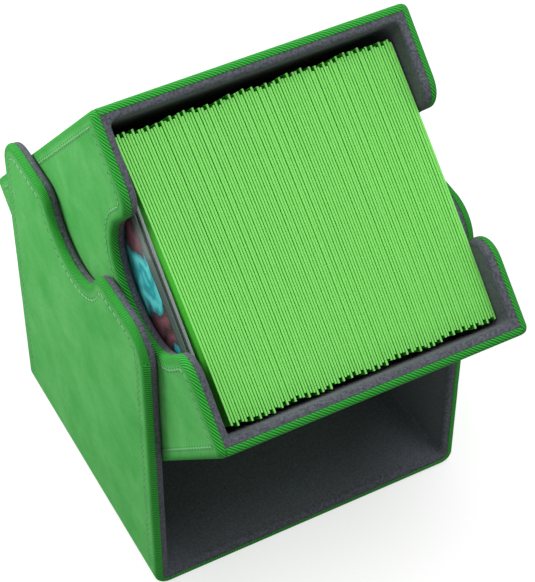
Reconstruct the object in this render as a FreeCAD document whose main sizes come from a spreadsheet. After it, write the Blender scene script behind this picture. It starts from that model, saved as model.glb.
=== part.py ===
import FreeCAD, Part
import math
import os

import Sketcher

# Card deck box. A U-shaped cover stands open as a holder, and the card tray leans between its
# side walls on two pairs of magnets. Every wall is two wrapped greyboard panels glued back to
# back: green outside, dark lining inside. Origin: centre of the holder's underside. X runs
# across, Y from front to back, Z up. Tray and cards are drawn upright about the magnets' axis
# and then leaned forward by their Placement.

os.makedirs("parts", exist_ok=True)
doc = FreeCAD.newDocument("CardDeckBox")

# Driving dimensions, in millimetres, with the lean in degrees
SIZES = {
    "stand_width": 84.8,
    "stand_depth": 77.6,
    "stand_height": 89.0,
    "stand_fold": 3.5,
    "lobe_round": 9.0,
    "wave_depth": 12.2,
    "wave_radius": 13.8,
    "shoulder_round": 6.0,
    "half_wall": 1.8,
    "floor_panel": 2.2,
    "skin": 0.5,
    "edge_turn": 0.8,
    "lining_turn": 0.6,
    "lining_step": 0.15,
    "lining_fold": 1.5,
    "tray_length": 77.0,
    "tray_depth": 78.0,
    "tray_height": 102.0,
    "tray_fold": 1.6,
    "rim_round": 2.0,
    "thumb_depth": 26.2,
    "thumb_radius": 15.3,
    "pivot_above_table": 61.9,
    "pivot_above_bottom": 43.2,
    "lean": 41.2,
    "magnet_radius": 5.0,
    "magnet_thick": 1.0,
    "sleeve_width": 66.0,
    "sleeve_height": 92.0,
    "sleeve_thick": 0.6,
    "sleeve_pitch": 0.68,
    "film": 0.12,
    "weld": 0.6,
    "card_width": 63.0,
    "card_height": 88.0,
    "card_thick": 0.3,
    "sleeve_count": 100,
    "ragged": 2.6,
    "clear": 0.35,
}

sheet = doc.addObject("Spreadsheet::Sheet", "Dims")
for row, (alias, number) in enumerate(SIZES.items(), start=1):
    sheet.set(f"A{row}", alias)
    sheet.set(f"B{row}", str(number))
    sheet.setAlias(f"B{row}", alias)
doc.recompute()

TOLERANCE = 0.02
PIECES = []


def size(alias):
    """A driving dimension as a number."""
    return float(sheet.get(alias))


def dims(text):
    """An expression in the sheet's aliases: {tray_depth} stands for that cell."""
    return text.replace("{", "Dims.").replace("}", "")


def finish(piece, label):
    """Names a sub-part and puts it on the list of pieces to write out."""
    piece.Label = label
    PIECES.append(piece)
    return piece


def new_sketch(body, name, plane, start):
    """A sketch on one of its body's origin planes, moved along the normal to start."""
    sketch = body.newObject("Sketcher::SketchObject", name)
    planes = [item for item in body.Origin.OriginFeatures if item.Role == plane]
    sketch.AttachmentSupport = (planes[0], [""])
    sketch.MapMode = "FlatFace"
    sketch.setExpression("AttachmentOffset.Base.z", dims(start))
    return sketch


def tie(sketch, kind, geometry, point, text):
    """Holds one coordinate of a sketch point at an expression of the sheet."""
    index = sketch.addConstraint(Sketcher.Constraint(kind, geometry, point, 1.0))
    sketch.renameConstraint(index, f"tie_{index}")
    sketch.setExpression(f"Constraints.tie_{index}", dims(text))


def draw_outline(sketch, corners):
    """A closed outline of straight lines through corners given as pairs of expressions."""
    count = len(corners)
    turn = 2 * math.pi / count
    rough = [FreeCAD.Vector(math.cos(turn * i), math.sin(turn * i), 0) for i in range(count)]
    for i in range(count):
        sketch.addGeometry(Part.LineSegment(rough[i], rough[(i + 1) % count]), False)
    for i in range(count):
        sketch.addConstraint(Sketcher.Constraint("Coincident", i, 2, (i + 1) % count, 1))
    for i, (across, up) in enumerate(corners):
        tie(sketch, "DistanceX", i, 1, across)
        tie(sketch, "DistanceY", i, 1, up)


def draw_circle(sketch, up, radius):
    """A circle centred on the sketch's vertical axis."""
    circle = Part.Circle(FreeCAD.Vector(0, 1, 0), FreeCAD.Vector(0, 0, 1), 1.0)
    sketch.addGeometry(circle, False)
    sketch.addConstraint(Sketcher.Constraint("PointOnObject", 0, 3, -2))
    tie(sketch, "DistanceY", 0, 3, up)
    index = sketch.addConstraint(Sketcher.Constraint("Radius", 0, 1.0))
    sketch.renameConstraint(index, "radius")
    sketch.setExpression("Constraints.radius", dims(radius))


def rectangle(half_width, low, high):
    """Corners of an upright rectangle centred on the vertical axis."""
    left = f"-({half_width})"
    return [(left, low), (half_width, low), (half_width, high), (left, high)]


def u_section(half_width, bottom, top, wall, floor):
    """Corners of a U: two walls and a floor."""
    inner = f"{half_width} - {wall}"
    floor_top = f"{bottom} + {floor}"
    outside = [
        (f"-({half_width})", top),
        (f"-({half_width})", bottom),
        (half_width, bottom),
        (half_width, top),
    ]
    inside = [
        (inner, top),
        (inner, floor_top),
        (f"-({inner})", floor_top),
        (f"-({inner})", top),
    ]
    return outside + inside


def pad(name, plane, start, length, corners):
    """A new body: an outline extruded by length along its plane's normal."""
    body = doc.addObject("PartDesign::Body", f"{name}_body")
    sketch = new_sketch(body, f"{name}_outline", plane, start)
    draw_outline(sketch, corners)
    feature = body.newObject("PartDesign::Pad", f"{name}_pad")
    feature.Profile = sketch
    feature.setExpression("Length", dims(length))
    doc.recompute()
    return body


def pocket(body, sketch, length):
    """Cuts a body back from a sketch, and stops the build if nothing is cut."""
    before = body.Shape.Volume
    feature = body.newObject("PartDesign::Pocket", f"{sketch.Name}_cut")
    feature.Profile = sketch
    feature.setExpression("Length", dims(length))
    doc.recompute()
    if body.Shape.Volume > before - TOLERANCE:
        raise RuntimeError(f"{sketch.Name} cuts nothing")


def dress_edges(body, kind, measure, name, width, chosen):
    """Adds one edge feature to a body, on the edges for which chosen(edge) is true."""
    edges = [f"Edge{i}" for i, edge in enumerate(body.Shape.Edges, start=1) if chosen(edge)]
    if not edges:
        raise RuntimeError(f"{name} finds no edge")
    base = body.Tip
    feature = body.newObject(kind, name)
    feature.Base = (base, edges)
    feature.setExpression(measure, dims(width))
    doc.recompute()
    if "Invalid" in feature.State:
        raise RuntimeError(f"{name} can't be made")


def round_edges(body, name, radius, chosen):
    """Rounds edges, as at a fold or a lobe."""
    dress_edges(body, "PartDesign::Fillet", "Radius", name, radius, chosen)


def bevel_edges(body, name, width, chosen):
    """Bevels edges, where the skin turns over the rim of a board."""
    dress_edges(body, "PartDesign::Chamfer", "Size", name, width, chosen)


def ends(edge):
    return [vertex.Point for vertex in edge.Vertexes]


def middle(edge):
    return edge.valueAt((edge.FirstParameter + edge.LastParameter) / 2)


def near(value, target):
    return abs(value - target) < TOLERANCE


def across_at(y, z):
    """Chooses the edges that run along X at (y, z) and (-y, z)."""
    return lambda edge: all(near(abs(p.y), y) and near(p.z, z) for p in ends(edge) + [middle(edge)])


def along_at(x, z):
    """Chooses the edges that run along Y at (x, z) and (-x, z)."""
    return lambda edge: all(near(abs(p.x), x) and near(p.z, z) for p in ends(edge) + [middle(edge)])


def on_face(x):
    """Chooses the edges that lie in the plane at x."""
    return lambda edge: near(middle(edge).x, x) and all(near(p.x, x) for p in ends(edge))


def wrap(label, blank, inside):
    """A wrapped skin: the blank with the stiff plates inside it taken out."""
    bundle = doc.addObject("Part::Compound", f"{label}_inside")
    bundle.Links = inside
    skin = doc.addObject("Part::Cut", f"{label}_skin")
    skin.Base = blank
    skin.Tool = bundle
    return finish(skin, label)


def seat_magnet(label, board, disc):
    """A board with the round seat of its magnet cut out."""
    seat = doc.addObject("Part::Cut", f"{label}_seat")
    seat.Base = board
    seat.Tool = disc
    return finish(seat, label)


def magnet(label, start):
    """A flat disc magnet on the tray's axis, its thickness along X."""
    disc = doc.addObject("Part::Cylinder", f"{label}_disc")
    disc.setExpression("Radius", "Dims.magnet_radius")
    disc.setExpression("Height", "Dims.magnet_thick")
    turn = FreeCAD.Rotation(FreeCAD.Vector(0, 1, 0), 90)
    disc.Placement = FreeCAD.Placement(FreeCAD.Vector(0, 0, 0), turn)
    disc.setExpression("Placement.Base.x", dims(start))
    disc.setExpression("Placement.Base.z", "Dims.pivot_above_table")
    return finish(disc, label)


def layer(half_width, depth, thick):
    """Where a layer starts, depth in from the outer face on each side."""
    return {
        "left": f"{depth} - {half_width}",
        "right": f"{half_width} - ({depth}) - {thick}",
    }


BOARD = "({half_wall} - {skin})"
SIDES = ("left", "right")

# Holder: side walls with two round lobes and a wave between them, and one floor

STAND_HALF = "{stand_width} / 2"
STAND_MIDDLE = "({stand_width} / 2 - {half_wall})"
STAND_FLOOR_TOP = "({half_wall} + {floor_panel})"
STAND_OUTER_BOARDS = layer(STAND_HALF, "{skin}", BOARD)
STAND_INNER_BOARDS = layer(STAND_HALF, "{half_wall}", BOARD)
STAND_MAGNETS = layer(STAND_HALF, "{half_wall}", "{magnet_thick}")


def shape_stand_walls(body, label, inset):
    """Cuts the wave into the side walls of a body and rounds its lobes and shoulders."""
    wave = new_sketch(body, f"{label}_wave", "YZ_Plane", "{stand_width} / 2 + 1")
    draw_circle(wave, "{stand_height} - {wave_depth} + {wave_radius}", f"{{wave_radius}} + {inset}")
    pocket(body, wave, "{stand_width} + 2")
    half_depth = size("stand_depth") / 2 - inset
    top = size("stand_height") - inset
    rise = size("wave_radius") - size("wave_depth") + inset
    half_wave = math.sqrt((size("wave_radius") + inset) ** 2 - rise**2)
    round_edges(body, f"{label}_lobes", f"{{lobe_round}} - {inset}", across_at(half_depth, top))
    shoulder = f"{{shoulder_round}} - {inset}"
    round_edges(body, f"{label}_shoulders", shoulder, across_at(half_wave, top))


def u_border(half_width, bottom, fold):
    """Chooses the border of a U-shaped surface: walls, folds and floor, but not its seams."""

    def chosen(edge):
        point = middle(edge)
        if near(point.y, 0) and point.z < bottom + fold + TOLERANCE:
            return False
        if near(abs(point.x), half_width):
            return point.z > bottom + fold + TOLERANCE
        if near(point.z, bottom):
            return abs(point.x) < half_width - fold
        reach = math.hypot(abs(point.x) - half_width + fold, point.z - bottom - fold)
        return near(reach, fold)

    return chosen


def stand_cover_blank():
    """The green shell: one U with a soft fold along each side and its border turned over."""
    outline = u_section(STAND_HALF, "0", "{stand_height}", "{half_wall}", "{half_wall}")
    body = pad("stand_cover", "XZ_Plane", "-{stand_depth} / 2", "{stand_depth}", outline)
    half_width = size("stand_width") / 2
    round_edges(body, "stand_cover_fold", "{stand_fold}", along_at(half_width, 0))
    shape_stand_walls(body, "stand_cover", 0)
    border = u_border(half_width, 0, size("stand_fold"))
    bevel_edges(body, "stand_cover_border", "{edge_turn}", border)
    return body


def stand_lining_blank():
    """The dark lined shell inside the green one, a little short of its edges."""
    top = "{stand_height} - {lining_step}"
    outline = u_section(STAND_MIDDLE, "{half_wall}", top, "{half_wall}", "{floor_panel}")
    start = "{lining_step} - {stand_depth} / 2"
    length = "{stand_depth} - 2 * {lining_step}"
    body = pad("stand_lining", "XZ_Plane", start, length, outline)
    shape_stand_walls(body, "stand_lining", size("lining_step"))
    half_width = size("stand_width") / 2 - 2 * size("half_wall")
    floor_top = size("half_wall") + size("floor_panel")
    round_edges(body, "stand_lining_fold", "{lining_fold}", along_at(half_width, floor_top))
    border = u_border(half_width, floor_top, size("lining_fold"))
    bevel_edges(body, "stand_lining_border", "{lining_turn}", border)
    return body


def stand_wall_board(label, start, inset, bottom):
    """A greyboard side plate with the wall's lobes and wave."""
    outline = rectangle(f"{{stand_depth}} / 2 - {inset}", bottom, f"{{stand_height}} - {inset}")
    body = pad(label, "YZ_Plane", start, BOARD, outline)
    shape_stand_walls(body, label, inset)
    return body


def stand_floor_board(label, start, thick, half_width, inset):
    """A greyboard floor plate."""
    reach = f"({{stand_depth}} / 2 - {inset})"
    return pad(label, "XY_Plane", start, thick, rectangle(half_width, f"-{reach}", reach))


def build_stand():
    """The holder: green shell over three boards, and lining over three boards and magnets."""
    skin = size("skin")
    outer = []
    for side in SIDES:
        label = f"stand_outer_board_{side}"
        board = stand_wall_board(label, STAND_OUTER_BOARDS[side], skin, "{stand_fold}")
        outer.append(finish(board, label))
    label = "stand_outer_board_floor"
    floor_half = STAND_HALF + " - {stand_fold}"
    outer.append(finish(stand_floor_board(label, "{skin}", BOARD, floor_half, skin), label))
    wrap("stand_cover", stand_cover_blank(), outer)

    inset = skin + size("lining_step")
    inner = []
    for side in SIDES:
        label = f"stand_inner_board_{side}"
        board = stand_wall_board(label, STAND_INNER_BOARDS[side], inset, STAND_FLOOR_TOP)
        disc = magnet(f"stand_magnet_{side}", STAND_MAGNETS[side])
        inner += [seat_magnet(label, board, disc), disc]
    label = "stand_inner_board_floor"
    thick = "{floor_panel} - {skin}"
    floor_half = STAND_MIDDLE + " - {half_wall}"
    board = stand_floor_board(label, "{half_wall}", thick, floor_half, inset)
    inner.append(finish(board, label))
    wrap("stand_lining", stand_lining_blank(), inner)


# Tray: a green shell of two side panels and one folded wrap, and a lined box inside it

TRAY_HALF = "{tray_length} / 2"
TRAY_TOP = "({tray_height} - {pivot_above_bottom})"
TRAY_BOTTOM = "(-{pivot_above_bottom})"
LINING_TOP = "({tray_height} - {pivot_above_bottom} - {lining_step})"
LINING_BOTTOM = "({half_wall} - {pivot_above_bottom})"
LINED_FLOOR = "({half_wall} + {half_wall} - {pivot_above_bottom})"
OUTER_REACH = "{tray_depth} / 2"
INNER_REACH = "({tray_depth} / 2 - {half_wall})"
ROOM_REACH = "({tray_depth} / 2 - {half_wall} - {half_wall})"
TRAY_COVERS = layer(TRAY_HALF, "0", "{half_wall}")
TRAY_LININGS = layer(TRAY_HALF, "{half_wall}", "{half_wall}")
TRAY_OUTER_BOARDS = layer(TRAY_HALF, "{skin}", BOARD)
TRAY_INNER_BOARDS = layer(TRAY_HALF, "{half_wall}", BOARD)
TRAY_MAGNETS = layer(TRAY_HALF, "{half_wall} - {magnet_thick}", "{magnet_thick}")


def lean(piece):
    """Lifts a piece drawn upright about the magnets' axis to that axis and leans it forward."""
    piece.Placement = FreeCAD.Placement(
        FreeCAD.Vector(0, 0, size("pivot_above_table")),
        FreeCAD.Rotation(FreeCAD.Vector(1, 0, 0), size("lean")),
    )
    piece.setExpression("Placement.Base.z", "Dims.pivot_above_table")
    piece.setExpression("Placement.Rotation.Angle", "Dims.lean")
    return piece


def shape_thumb_notch(body, label, start, thick, inset):
    """Cuts the thumb notch through a side panel: a half circle with a straight way up."""
    beyond = f"{start} + {thick} + 1"
    through = f"{thick} + 2"
    centre = "({tray_height} - {pivot_above_bottom} - {thumb_depth} + {thumb_radius})"
    radius = f"({{thumb_radius}} + {inset})"
    bore = new_sketch(body, f"{label}_thumb", "YZ_Plane", beyond)
    draw_circle(bore, centre, radius)
    pocket(body, bore, through)
    slot = new_sketch(body, f"{label}_slot", "YZ_Plane", beyond)
    draw_outline(slot, rectangle(radius, centre, f"{TRAY_TOP} + 1"))
    pocket(body, slot, through)
    top = size("tray_height") - size("pivot_above_bottom") - inset
    chosen = across_at(size("thumb_radius") + inset, top)
    round_edges(body, f"{label}_shoulders", f"{{shoulder_round}} - {inset}", chosen)


def tray_side_cover_blank(side):
    """A green side panel over the tray's full depth, its skin turned in all round."""
    label = f"tray_cover_{side}"
    outline = rectangle(OUTER_REACH, TRAY_BOTTOM, TRAY_TOP)
    body = pad(label, "YZ_Plane", TRAY_COVERS[side], "{half_wall}", outline)
    shape_thumb_notch(body, label, TRAY_COVERS[side], "{half_wall}", 0)
    reach = size("tray_depth") / 2
    bottom = -size("pivot_above_bottom")
    top = size("tray_height") + bottom
    face = size("tray_length") / 2 * (1 if side == "right" else -1)
    round_edges(body, f"{label}_rim", "{rim_round}", across_at(reach, top))
    round_edges(body, f"{label}_foot", "{tray_fold}", across_at(reach, bottom))
    bevel_edges(body, f"{label}_border", "{edge_turn}", on_face(face))
    return body


def tray_side_lining_blank(side):
    """A lined side panel, its skin turned over along its rim and thumb notch."""
    label = f"tray_lining_{side}"
    outline = rectangle(INNER_REACH, LINING_BOTTOM, LINING_TOP)
    body = pad(label, "YZ_Plane", TRAY_LININGS[side], "{half_wall}", outline)
    step = size("lining_step")
    shape_thumb_notch(body, label, TRAY_LININGS[side], "{half_wall}", step)
    reach = size("tray_depth") / 2 - size("half_wall")
    room = size("tray_length") / 2 - 2 * size("half_wall")
    in_plane = on_face(room if side == "right" else -room)

    def on_rim(edge):
        point = middle(edge)
        return in_plane(edge) and abs(point.y) < reach - TOLERANCE and point.z > 0

    bevel_edges(body, f"{label}_border", "{lining_turn}", on_rim)
    return body


def tray_side_board(label, start, reach, bottom, top, inset):
    """A greyboard side plate with the thumb notch."""
    outline = rectangle(f"{reach} - {{skin}}", f"{bottom} + {{skin}}", f"{top} - {{skin}}")
    body = pad(label, "YZ_Plane", start, BOARD, outline)
    shape_thumb_notch(body, label, start, BOARD, inset)
    return body


def tray_wrap_blank():
    """Green front, bottom and rear in one folded piece between the side panels."""
    outline = u_section(OUTER_REACH, TRAY_BOTTOM, TRAY_TOP, "{half_wall}", "{half_wall}")
    start = f"{{half_wall}} - {TRAY_HALF}"
    length = "{tray_length} - 2 * {half_wall}"
    body = pad("tray_cover_wrap", "YZ_Plane", start, length, outline)
    reach = size("tray_depth") / 2
    bottom = -size("pivot_above_bottom")
    top = size("tray_height") + bottom
    round_edges(body, "tray_wrap_fold", "{tray_fold}", across_at(reach, bottom))
    bevel_edges(body, "tray_wrap_rim", "{edge_turn}", across_at(reach, top))
    return body


def tray_lining_wrap_blank():
    """Lined front, bottom and rear in one folded piece between the lined side panels."""
    outline = u_section(INNER_REACH, LINING_BOTTOM, LINING_TOP, "{half_wall}", "{half_wall}")
    start = f"2 * {{half_wall}} - {TRAY_HALF}"
    length = "{tray_length} - 4 * {half_wall}"
    body = pad("tray_lining_wrap", "YZ_Plane", start, length, outline)
    room = size("tray_depth") / 2 - 2 * size("half_wall")
    top = size("tray_height") - size("pivot_above_bottom") - size("lining_step")
    bevel_edges(body, "tray_lining_wrap_rim", "{lining_turn}", across_at(room, top))
    return body


def tray_wrap_boards(layer_name, depth, half_length, bottom, top, floor, floor_reach):
    """Three plain plates: front and rear, depth in from the tray's faces, and bottom."""
    half = f"({half_length} - {{skin}})"
    upright = rectangle(half, bottom, f"{top} - {{skin}}")
    starts = layer("{tray_depth} / 2", depth, BOARD)
    lying = rectangle(half, f"-{floor_reach}", floor_reach)
    plates = {
        "rear": ("XZ_Plane", starts["left"], upright),
        "front": ("XZ_Plane", starts["right"], upright),
        "bottom": ("XY_Plane", floor, lying),
    }
    boards = []
    for place, (plane, start, outline) in plates.items():
        label = f"tray_{layer_name}_board_{place}"
        boards.append(finish(lean(pad(label, plane, start, BOARD, outline)), label))
    return boards


def build_tray():
    """The tray, drawn upright: five wrapped green panels and five lined ones inside them."""
    skin = size("skin")
    lined = skin + size("lining_step")
    rim = size("tray_height") - size("pivot_above_bottom")
    for side in SIDES:
        label = f"tray_outer_board_{side}"
        start = TRAY_OUTER_BOARDS[side]
        board = tray_side_board(label, start, OUTER_REACH, TRAY_BOTTOM, TRAY_TOP, skin)
        corners = across_at(size("tray_depth") / 2 - skin, rim - skin)
        round_edges(board, f"{label}_rim", "{rim_round} - {skin}", corners)
        board = lean(board)
        disc = magnet(f"tray_magnet_{side}", TRAY_MAGNETS[side])
        inside = [seat_magnet(label, board, disc), disc]
        wrap(f"tray_cover_{side}", lean(tray_side_cover_blank(side)), inside)

        label = f"tray_inner_board_{side}"
        start = TRAY_INNER_BOARDS[side]
        board = tray_side_board(label, start, INNER_REACH, LINING_BOTTOM, LINING_TOP, lined)
        inside = [finish(lean(board), label)]
        wrap(f"tray_lining_{side}", lean(tray_side_lining_blank(side)), inside)

    boards = tray_wrap_boards("outer", "{skin}", f"({TRAY_HALF} - {{half_wall}})",
                              LINING_BOTTOM, TRAY_TOP, f"{TRAY_BOTTOM} + {{skin}}", INNER_REACH)
    wrap("tray_cover_wrap", lean(tray_wrap_blank()), boards)
    boards = tray_wrap_boards("inner", "{half_wall}", f"({TRAY_HALF} - 2 * {{half_wall}})",
                              LINED_FLOOR, LINING_TOP, LINING_BOTTOM, ROOM_REACH)
    wrap("tray_lining_wrap", lean(tray_lining_wrap_blank()), boards)


# Cards: each one stands in its own sleeve, with their long sides up the tray


def sleeve_shape():
    """One sleeve: two films welded along three sides, standing on its open end."""
    half = "{sleeve_width} / 2"
    outline = rectangle(half, "0", "{sleeve_height}")
    body = pad("sleeve", "YZ_Plane", "0", "{sleeve_thick}", outline)
    mouth = new_sketch(body, "sleeve_mouth", "YZ_Plane", "{sleeve_thick} - {film}")
    draw_outline(mouth, rectangle(f"{half} - {{weld}}", "-1", "{sleeve_height} - {weld}"))
    pocket(body, mouth, "{sleeve_thick} - 2 * {film}")
    return body.Shape


def card_shape():
    """One card, standing on its short side."""
    outline = rectangle("{card_width} / 2", "0", "{card_height}")
    return pad("card", "YZ_Plane", "0", "{card_thick}", outline).Shape


def stand_back(i):
    """How far sleeve i stands off the front lining: uneven, as in a deck that is in use."""
    drift = 0.22 * i / size("sleeve_count")
    swing = 0.42 + drift + 0.24 * math.sin(2.4 * i) + 0.12 * math.sin(0.31 * i + 0.8)
    return size("ragged") * swing


def group(label, shape, count, first):
    """Copies of one shape at the sleeve pitch, as separate solids of one sub-part."""
    lined_front = 2 * size("half_wall") - size("tray_depth") / 2
    lined_floor = 2 * size("half_wall") - size("pivot_above_bottom")
    front_edge = lined_front + size("clear") + size("sleeve_width") / 2
    foot = lined_floor + size("clear")
    copies = []
    for i in range(count):
        x = first + i * size("sleeve_pitch")
        copies.append(shape.translated(FreeCAD.Vector(x, front_edge + stand_back(i), foot)))
    piece = doc.addObject("Part::Feature", f"{label}_group")
    piece.Shape = Part.Compound(copies)
    return finish(lean(piece), label)


def build_cards():
    """The front card by itself, then the deck behind it."""
    sleeve = sleeve_shape()
    card = card_shape()
    room_left = 2 * size("half_wall") - size("tray_length") / 2
    front = room_left + size("clear")
    deck = front + size("sleeve_thick") + size("clear")
    inset = (size("sleeve_thick") - size("card_thick")) / 2
    count = int(size("sleeve_count"))
    group("front_sleeve", sleeve, 1, front)
    group("front_card", card, 1, front + inset)
    group("deck_sleeves", sleeve, count, deck)
    group("deck_cards", card, count, deck + inset)


def write_out():
    """Checks the whole document, then writes one file for each sub-part."""
    doc.recompute()
    for item in doc.Objects:
        if "Invalid" in item.State or "Error" in item.State:
            raise RuntimeError(f"{item.Name} has failed")
    for piece in PIECES:
        if piece.Shape.isNull() or not piece.Shape.isValid():
            raise RuntimeError(f"{piece.Label} has no valid shape")
    for piece in PIECES:
        piece.Shape.exportStep(f"parts/{piece.Label}.step")
        print(piece.Label, len(piece.Shape.Solids), round(piece.Shape.Volume, 1))


build_stand()
build_tray()
build_cards()
write_out()
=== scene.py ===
import math
import random

import bmesh
import bpy
from mathutils import Matrix, Vector


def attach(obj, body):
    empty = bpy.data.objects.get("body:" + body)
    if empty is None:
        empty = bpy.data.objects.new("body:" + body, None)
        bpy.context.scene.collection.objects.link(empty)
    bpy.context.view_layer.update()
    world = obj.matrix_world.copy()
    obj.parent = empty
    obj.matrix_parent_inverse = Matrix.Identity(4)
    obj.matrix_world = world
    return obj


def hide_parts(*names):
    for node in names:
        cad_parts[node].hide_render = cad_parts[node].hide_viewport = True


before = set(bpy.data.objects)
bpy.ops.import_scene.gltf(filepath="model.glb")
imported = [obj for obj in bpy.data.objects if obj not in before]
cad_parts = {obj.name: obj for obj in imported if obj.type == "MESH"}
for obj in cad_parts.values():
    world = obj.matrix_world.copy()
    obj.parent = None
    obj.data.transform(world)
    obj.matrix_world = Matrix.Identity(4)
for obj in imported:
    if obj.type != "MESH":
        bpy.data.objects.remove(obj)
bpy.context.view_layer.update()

# The picture: a long lens looks down over the box's front left corner, and the frame is almost
# level. The box stands in a white tent, so its light is soft and plain.
film_height = 36
focal_pixels = 2070.1
picture_pixels = 582
eye = Vector((-0.15719, -0.31032, 0.42095))
heading, dip, roll = (math.radians(angle) for angle in (28.147, 46.952, -0.116))
forward = Vector((math.sin(heading) * math.cos(dip), math.cos(heading) * math.cos(dip),
                  -math.sin(dip)))
level = Vector((math.cos(heading), -math.sin(heading), 0))
right = level * math.cos(roll) + forward.cross(level) * math.sin(roll)
camera = bpy.data.objects.new("camera", bpy.data.cameras.new("camera"))
camera.data.sensor_fit = "VERTICAL"
camera.data.sensor_height = film_height
camera.data.lens = film_height * focal_pixels / picture_pixels
camera.data.clip_start = 0.01
camera.matrix_world = Matrix.Translation(eye) @ Matrix(
    (right, right.cross(forward), -forward)).transposed().to_4x4()
bpy.context.scene.collection.objects.link(camera)
bpy.context.scene.camera = camera
bpy.context.scene.view_settings.view_transform = "Standard"


def dye(red, green, blue):
    """A colour from a dyer's chart, 0 to 255, in the renderer's own values."""
    tones = [value / 255 for value in (red, green, blue)]
    return [t / 12.92 if t < 0.04045 else ((t + 0.055) / 1.055) ** 2.4 for t in tones] + [1.0]


def node(tree, kind, feeds, **settings):
    """Adds a shader node. Feeds pair its inputs with plain values or with other nodes' outputs."""
    made = tree.nodes.new("ShaderNode" + kind)
    for key, value in settings.items():
        setattr(made, key, value)
    for key, source in feeds.items():
        if isinstance(source, bpy.types.NodeSocket):
            tree.links.new(source, made.inputs[key])
        else:
            made.inputs[key].default_value = source
    return made


def reckon(tree, operation, first, second=0.5, third=0.5):
    """The result of a sum on values that vary over a surface."""
    return node(tree, "Math", {0: first, 1: second, 2: third}, operation=operation).outputs[0]


def tent_lamp(name, place, size, power):
    """A soft white panel that faces the middle of the box."""
    panel = bpy.data.lights.new(name, "AREA")
    panel.shape = "DISK"
    panel.size = size
    panel.energy = power
    lamp = bpy.data.objects.new(name, panel)
    lamp.location = place
    towards = Vector((0, 0, 0.06)) - Vector(place)
    lamp.rotation_euler = towards.to_track_quat("-Z", "Y").to_euler()
    bpy.context.scene.collection.objects.link(lamp)


tent_lamp("back left panel", (-0.23, 0.18, 0.25), 0.22, 1.3)
tent_lamp("top panel", (0.06, -0.20, 0.74), 0.45, 4.0)

tent_light = 0.52
tent = bpy.data.worlds.new("white tent")
tent.use_nodes = True
bpy.context.scene.world = tent
tent.node_tree.nodes.clear()
rays = node(tent.node_tree, "LightPath", {}).outputs
seen = reckon(tent.node_tree, "MAXIMUM", rays["Is Camera Ray"], rays["Is Transmission Ray"])
glow = reckon(tent.node_tree, "MULTIPLY_ADD", seen, 1 - tent_light, tent_light)
sky = node(tent.node_tree, "Background", {"Color": (1, 1, 1, 1), "Strength": glow})
node(tent.node_tree, "OutputWorld", {"Surface": sky.outputs[0]})

table_top = bmesh.new()
bmesh.ops.create_grid(table_top, x_segments=8, y_segments=8, size=2.5)
table_mesh = bpy.data.meshes.new("table")
table_top.to_mesh(table_mesh)
table_top.free()
table = bpy.data.objects.new("table", table_mesh)
table.location.z = -0.0001
bpy.context.scene.collection.objects.link(table)

paper_white = 0.36
paper_glow = 0.66
paper = bpy.data.materials.new("white paper")
paper.use_nodes = True
paper.node_tree.nodes.clear()
rays = node(paper.node_tree, "LightPath", {}).outputs
seen = reckon(paper.node_tree, "MAXIMUM", rays["Is Camera Ray"], rays["Is Glossy Ray"])
seen = reckon(paper.node_tree, "MAXIMUM", seen, rays["Is Transmission Ray"])
strength = reckon(paper.node_tree, "MULTIPLY", seen, paper_glow)
lit = node(paper.node_tree, "Emission", {"Strength": strength})
matt = node(paper.node_tree, "BsdfDiffuse", {"Color": (paper_white, paper_white, paper_white, 1)})
both = node(paper.node_tree, "AddShader", {0: matt.outputs[0], 1: lit.outputs[0]})
node(paper.node_tree, "OutputMaterial", {"Surface": both.outputs[0]})
table_mesh.materials.append(paper)

# Holder, green shell: one length of suede-faced leatherette over three greyboards, folded into a
# U with two lobed walls. The skin turns over the boards' rims, and the tool that presses it down
# leaves fine ribs across the turned edge.
MM = 0.001
quarter = math.pi / 2
stand_half = 42.4
stand_reach = 38.8
stand_top = 89.0
stand_fold = 3.5
lobe = 9.0
wave = 13.8
valley = 12.2
wave_heart = stand_top - valley + wave
shoulder = 6.0
shoulder_off = 18.283
# Where a shoulder's round touches the valley's round, from the shoulder's own heart.
touch_along, touch_up = 5.540, 2.303
shoulder_turn = math.atan2(touch_up, touch_along)
half_wall = 1.8
turn = 1.3
nick = 0.12
border_pitch = 2.5
small_round = 7.0
# Flat faces are marked as this far over the edge, past all ribs and furrows.
past_edge = 12
crease_height = 29.0
crease_depth = 0.35
crease_width = 0.9
rib_pitch = 0.68
rim_slant = 1.7
edge_slant = 0.18
sewn_in = 3.5


def sample(x, y, out_x, out_y, radius=math.inf, corner=(0, 0)):
    """A point of a border, the way out of the panel there, and how far in its round reaches."""
    return (x, y, out_x, out_y, radius, *corner)


def arc(heart, radius, start, end, steps, corner=(0, 0), hollow=False):
    """A round in a border, from start to end in radians about its heart."""
    way = -1 if hollow else 1
    reach = radius if corner != (0, 0) else math.inf
    points = []
    for i in range(steps + 1):
        angle = start + (end - start) * i / steps
        x, y = math.cos(angle), math.sin(angle)
        place = (heart[0] + radius * x, heart[1] + radius * y)
        points.append(sample(*place, way * x, way * y, reach, corner))
    return points


def straight(first, last, pitch):
    """The points between two samples on a straight border. None lies close to a small round, where
    the rings inside it would cross."""
    length = math.dist(first[:2], last[:2])
    steps = max(1, round(length / pitch))
    along = [(last[i] - first[i]) / length for i in (0, 1)]
    points = []
    for i in range(1, steps):
        place = [first[j] + (last[j] - first[j]) * i / steps for j in (0, 1)]
        near = [end for end in (first, last) if math.dist(place, end[:2]) < small_round]
        if all(end[4] >= small_round for end in near):
            points.append(sample(*place, along[1], -along[0]))
    return points


def inset(point, by):
    """Where a border point goes when the border moves in by a distance."""
    x, y, out_x, out_y, radius, corner_x, corner_y = point
    used = min(by, radius)
    return x - used * out_x - (by - used) * corner_x, y - used * out_y - (by - used) * corner_y


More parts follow.
